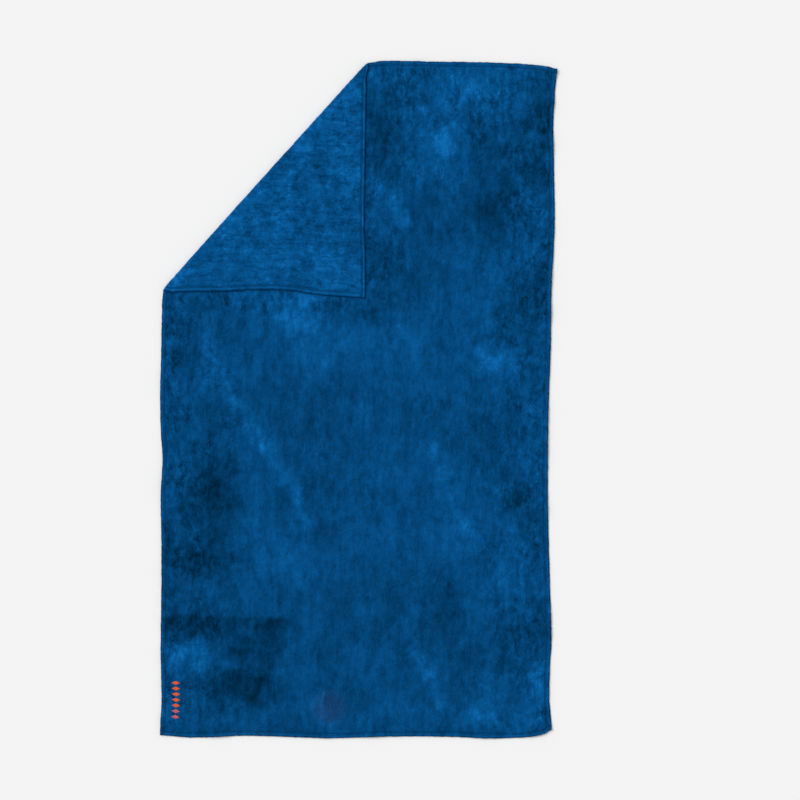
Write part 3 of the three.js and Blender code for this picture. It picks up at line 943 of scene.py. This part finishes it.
def satin_lozenge(number, material):
    """A lozenge of satin stitch: threads side by side, each arched over the pile."""
    node = f"mark_lozenge_{number}"
    low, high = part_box(node)
    middle_u, middle_v = (low.x + high.x) / 2, (low.y + high.y) / 2
    half_u, half_v = (high.x - low.x) / 2, (high.y - low.y) / 2
    along = np.linspace(-1, 1, SATIN_RINGS)[:, None]
    taper = np.sqrt(np.clip(1 - (SATIN_END * along) ** 6, 0, 1))
    count = int(2 * half_u / SATIN_PITCH)
    flats, faces = [], []
    for k in range(count):
        across = (k + 0.5) / count * 2 - 1
        uneven = SATIN_UNEVENNESS * noise(np.array(k * 0.7), np.array(number * 3.1), seed=151)
        length = half_v * (1 - abs(across)) + SATIN_OVERSHOOT + uneven
        arch = SATIN_RISE * (1 - 0.75 * along**2) * (0.45 + 0.55 * min(1, length / SATIN_FULL_LENGTH))
        u = middle_u + across * half_u + 0.55 * SATIN_PITCH * taper * np.cos(THREAD_TURN)
        v = middle_v + length * along
        w = THICKNESS - SATIN_SINK + arch + SATIN_HALF_HEIGHT * taper * np.sin(THREAD_TURN)
        flats.append(np.stack(np.broadcast_arrays(u, v, w), axis=-1).reshape(-1, 3))
        offset = k * SATIN_RINGS * THREAD_SIDES
        faces += [[i + offset for i in face] for face in tube_faces(SATIN_RINGS, THREAD_SIDES)]
    flat = np.concatenate(flats)
    return new_piece(f"satin_lozenge_{number}", MAIN, "mark_thread", material, [node], flat, faces)


def care_patch(material):
    """A thin round film with a welded rim, bonded to the back of the cloth."""
    turns = 2 * math.pi * np.arange(PATCH_SIDES) / PATCH_SIDES
    rings = []
    for share, height in PATCH_PROFILE:
        u = PATCH_CENTRE[0] + share * PATCH_RADIUS * np.cos(turns)
        v = PATCH_CENTRE[1] + share * PATCH_RADIUS * np.sin(turns)
        rings.append(np.stack([u, v, np.full_like(turns, height * MM)], axis=1))
    flat, faces = np.concatenate(rings), tube_faces(len(rings), len(turns))
    return new_piece("care_patch_film", MAIN, "patch", material, ["care_patch"], flat, faces)


# ---------------- materials


def srgb(*channels):
    """A colour as it shows on a screen, 0 to 255, in the linear values that shaders take."""
    shares = [channel / 255 for channel in channels]
    linear = [c / 12.92 if c <= 0.04045 else ((c + 0.055) / 1.055) ** 2.4 for c in shares]
    return (*linear, 1)


def bumps(*sizes):
    """The scale that gives noise bumps of these sizes (mm) along u, v and w. 0 is for no change."""
    return tuple(1 / (size * MM) if size else 0 for size in sizes)


class Shader:
    """A new material and short ways to add nodes to it."""

    def __init__(self, name):
        self.material = bpy.data.materials.new(name)
        self.material.use_nodes = True
        self.tree = self.material.node_tree
        self.surface = next(n for n in self.tree.nodes if n.type == "BSDF_PRINCIPLED")

    def add(self, kind, inputs=None, **settings):
        node = self.tree.nodes.new("ShaderNode" + kind)
        for key, value in settings.items():
            setattr(node, key, value)
        for key, value in (inputs or {}).items():
            self.set(node.inputs[key], value)
        return node

    def set(self, socket, value):
        if isinstance(value, bpy.types.NodeSocket):
            self.tree.links.new(value, socket)
        else:
            socket.default_value = value

    def attribute(self, name, output):
        return self.add("Attribute", attribute_name=name).outputs[output]

    def math(self, operation, a, b, clamped=False):
        return self.add("Math", {0: a, 1: b}, operation=operation, use_clamp=clamped).outputs[0]

    def plus(self, a, b):
        return self.math("ADD", a, b)

    def times(self, a, b):
        return self.math("MULTIPLY", a, b)

    def vector(self, operation, a, b):
        return self.add("VectorMath", {0: a, 1: b}, operation=operation).outputs[0]

    def noise(self, where, scale, amount, detail=2):
        """Noise of a vector scaled along each axis, centred on 0."""
        scaled = self.vector("MULTIPLY", where, scale)
        found = self.add("TexNoise", {"Vector": scaled, "Scale": 1.0, "Detail": detail, "Roughness": 0.6})
        return self.times(self.math("SUBTRACT", found.outputs["Fac"], 0.5), amount)

    def valley(self, value, width, deepest, level):
        """Deepest where a value crosses 0, rising to a level from width away."""
        ends = {"From Max": width, "To Min": deepest, "To Max": level}
        away = self.math("ABSOLUTE", value, 0)
        mapped = self.add("MapRange", {"Value": away, **ends}, interpolation_type="SMOOTHSTEP")
        return mapped.outputs["Result"]

    def ramp(self, factor, stops):
        node = self.add("ValToRGB", {"Fac": factor})
        elements = node.color_ramp.elements
        for element, (position, colour) in zip([elements[0], elements[1]], (stops[0], stops[-1])):
            element.position, element.color = position, colour
        for position, colour in stops[1:-1]:
            elements.new(position).color = colour
        return node.outputs["Color"]

    def bump(self, height, distance):
        node = self.add("Bump", {"Height": height, "Distance": distance, "Strength": 1.0})
        self.set(self.surface.inputs["Normal"], node.outputs["Normal"])

    def finish(self, **values):
        for key, value in values.items():
            self.set(self.surface.inputs[key.replace("_", " ")], value)
        return self.material


# The plush from stroked fully dark to stroked fully light
PLUSH_TONES = [
    (0.0, srgb(0, 28, 48)), (0.25, srgb(1, 49, 85)), (0.5, srgb(5, 68, 118)), (0.75, srgb(8, 87, 149)),
    (1.0, srgb(18, 114, 188)),
]
PLUSH_SHEEN = srgb(0, 110, 170)
PATCH_TINT = srgb(70, 66, 112)


def plush_shader(name, grain, pile):
    """Plush toned by how it is stroked, with ruffled, parted and combed pile, painted shade in partings
    and folds.
    """
    shader = Shader(name)
    flat = shader.attribute("flat", "Vector")
    ruffle = shader.attribute("ruffled", "Fac")
    swirl = shader.add("TexNoise", {"Vector": flat, "Scale": 45.0, "Detail": 2.0}).outputs["Color"]
    warped = shader.vector("ADD", flat, shader.vector("MULTIPLY", swirl, (0.02, 0.02, 0)))
    swayed = shader.vector("ADD", flat, warped)  # twice the place, so that it sways half as much
    clumps = shader.noise(warped, bumps(15, 24, 0), amount=3.5)
    gaps = shader.noise(warped, bumps(17, 34, 0), amount=1.0)
    loose = shader.noise(flat, bumps(34, 46, 0), amount=4.0)
    parted = shader.math("ADD", loose, 0.45, clamped=True)
    # painted shade: dark thin lines where the parted pile opens
    thin = shader.times(parted, shader.valley(gaps, width=0.085, deepest=-0.85, level=0.14))
    crinkles = shader.times(ruffle, shader.plus(clumps, thin))
    streaks = shader.noise(swayed, bumps(24, 190, 0), amount=1.8)
    long_gaps = shader.noise(swayed, bumps(50, 420, 0), amount=1.0)
    # painted shade: dark lines along the folds of the combed pile
    fold_shade = shader.valley(long_gaps, width=0.03, deepest=-0.9, level=0.06)
    combed = shader.times(shader.attribute("combed", "Fac"), shader.plus(streaks, fold_shade))
    locks = shader.noise(flat, bumps(3.4, 5.5, 4), amount=1.1, detail=1)
    fibres = shader.noise(flat, bumps(0.8, 1.3, 0.9), amount=2.6, detail=3)
    soft = shader.plus(shader.plus(crinkles, combed), locks)
    fine = shader.times(shader.plus(soft, fibres), grain)
    height = shader.plus(shader.times(soft, 0.35), shader.times(fibres, 0.30))
    # on the hems this tone holds their painted shade at the fold and along the stitch rows
    tone = shader.plus(shader.attribute("brushed", "Fac"), fine)
    on_ramp = shader.plus(shader.times(tone, 0.25), 0.5)
    colour = shader.ramp(on_ramp, PLUSH_TONES)
    tint = shader.attribute("tint", "Fac")
    tinted = shader.add("MixRGB", {"Fac": tint, "Color1": colour, "Color2": PATCH_TINT})
    shader.bump(height, pile)
    return shader.finish(
        Base_Color=tinted.outputs[0],
        Roughness=0.95,
        Specular_IOR_Level=0.0,
        Sheen_Weight=0.5,
        Sheen_Roughness=0.45,
        Sheen_Tint=PLUSH_SHEEN,
    )


def thread_shader(name, dark, light):
    """Twisted thread: a fine slant of light and dark along it."""
    shader = Shader(name)
    flat = shader.attribute("flat", "Vector")
    waves = {"Vector": flat, "Scale": 900.0, "Distortion": 1.5}
    twist = shader.add("TexWave", waves, bands_direction="DIAGONAL").outputs["Fac"]
    uneven = shader.noise(flat, (300, 300, 300), amount=0.9)
    shade = shader.plus(shader.times(twist, 0.5), shader.plus(uneven, 0.25))
    colour = shader.ramp(shade, [(0.0, dark), (1.0, light)])
    shader.bump(twist, 0.1 * MM)
    return shader.finish(Base_Color=colour, Roughness=0.55, Specular_IOR_Level=0.0)


def film_shader():
    """The care patch's matt purple film, with a fine grain."""
    shader = Shader("patch_film")
    grain = shader.noise(shader.attribute("flat", "Vector"), (1500, 1500, 0), amount=1.0)
    tones = [(0.0, srgb(72, 62, 108)), (1.0, srgb(96, 84, 136))]
    colour = shader.ramp(shader.plus(grain, 0.5), tones)
    shader.bump(grain, 0.05 * MM)
    return shader.finish(Base_Color=colour, Roughness=0.5, Specular_IOR_Level=0.3)


# ---------------- floor, light and camera

FLOOR_WHITE = 0.9  # what the floor reflects, and how bright it shows
FLOOR_REACH, FLOOR_GAP = 60, 0.2 * MM
SKY_LIGHT = 0.55  # the share of the light that comes from all round
SUN_TILT, SUN_WIDTH = math.radians(42), math.radians(35)
SUN_SIDE = Vector((-0.75, 0.66, 0))  # where it comes from, seen from above
VIEW_WIDTH = 2.074  # of the floor, seen from above
VIEW_CENTRE = (0.113, -0.001)
LENS, SENSOR = 85, 36


def studio():
    """A wide pale floor, soft light from all round, one wide lamp and the camera above the towel."""
    shape = bpy.data.meshes.new("floor")
    sides = ((-1, -1), (1, -1), (1, 1), (-1, 1))
    corners = [(x * FLOOR_REACH, y * FLOOR_REACH, -FLOOR_GAP) for x, y in sides]
    shape.from_pydata(corners, [], [(0, 1, 2, 3)])
    floor = bpy.data.objects.new("floor", shape)
    bpy.context.scene.collection.objects.link(floor)
    shader = Shader("pale_floor")
    white = (FLOOR_WHITE, FLOOR_WHITE, FLOOR_WHITE, 1)
    shape.materials.append(shader.finish(Base_Color=white, Roughness=1.0, Specular_IOR_Level=0.0))

    world = bpy.data.worlds.new("soft_studio")
    world.use_nodes = True
    nodes, links = world.node_tree.nodes, world.node_tree.links
    background = nodes["Background"]
    background.inputs["Color"].default_value = (1, 1, 1, 1)
    seen = nodes.new("ShaderNodeLightPath").outputs["Is Camera Ray"]
    strength = nodes.new("ShaderNodeMapRange")
    strength.inputs["To Min"].default_value = SKY_LIGHT
    strength.inputs["To Max"].default_value = FLOOR_WHITE
    links.new(seen, strength.inputs["Value"])
    links.new(strength.outputs["Result"], background.inputs["Strength"])
    bpy.context.scene.world = world

    sun = bpy.data.lights.new("wide_softbox", "SUN")
    sun.angle = SUN_WIDTH
    sun.energy = math.pi * (1 - SKY_LIGHT) / math.cos(SUN_TILT)
    lamp = bpy.data.objects.new("wide_softbox", sun)
    away = SUN_SIDE.normalized() * math.sin(SUN_TILT) + Vector((0, 0, math.cos(SUN_TILT)))
    lamp.rotation_euler = away.to_track_quat("Z", "Y").to_euler()
    bpy.context.scene.collection.objects.link(lamp)

    camera = bpy.data.objects.new("camera", bpy.data.cameras.new("camera"))
    camera.data.lens, camera.data.sensor_width = LENS, SENSOR
    camera.location = (*VIEW_CENTRE, VIEW_WIDTH / SENSOR * LENS)
    camera.data.clip_end = 200
    bpy.context.scene.collection.objects.link(camera)
    bpy.context.scene.camera = camera
    bpy.context.scene.view_settings.view_transform = "Standard"


# ---------------- the towel

studio()

plush = plush_shader("plush_pile", grain=1.0, pile=0.9 * MM)
pressed_plush = plush_shader("pressed_plush", grain=0.8, pile=0.5 * MM)
blue_thread = thread_shader("blue_thread", srgb(6, 52, 92), srgb(16, 92, 150))
orange_thread = thread_shader("orange_thread", srgb(205, 72, 36), srgb(255, 128, 84))
pink_thread = thread_shader("pink_thread", srgb(176, 78, 84), srgb(222, 130, 138))

main_cloth = plush_main(plush)
corner_cloth = plush_corner(plush)
sewn = {MAIN: [], CORNER: []}
for stretch_name, stretch_body, edge_name, start, end in STRETCHES:
    side = EDGES[edge_name]
    sewn[stretch_body] += [
        sewn_hem(stretch_name, stretch_body, side, start, end, pressed_plush),
        needle_stitches(stretch_name, stretch_body, side, start, end, blue_thread),
        looper_stitches(stretch_name, stretch_body, side, start, end, blue_thread),
    ]
for tack_name, tack_body, edge_name, at_end in TACKS:
    sewn[tack_body].append(corner_tack(tack_name, tack_body, EDGES[edge_name], at_end, blue_thread))

LOZENGES = sum(name.startswith("mark_lozenge_") for name in frame["nodes"])
PINK_LOZENGES = 2  # the last ones
for number in range(1, LOZENGES + 1):
    thread = orange_thread if number <= LOZENGES - PINK_LOZENGES else pink_thread
    sewn[MAIN].append(satin_lozenge(number, thread))
sewn[MAIN].append(care_patch(film_shader()))
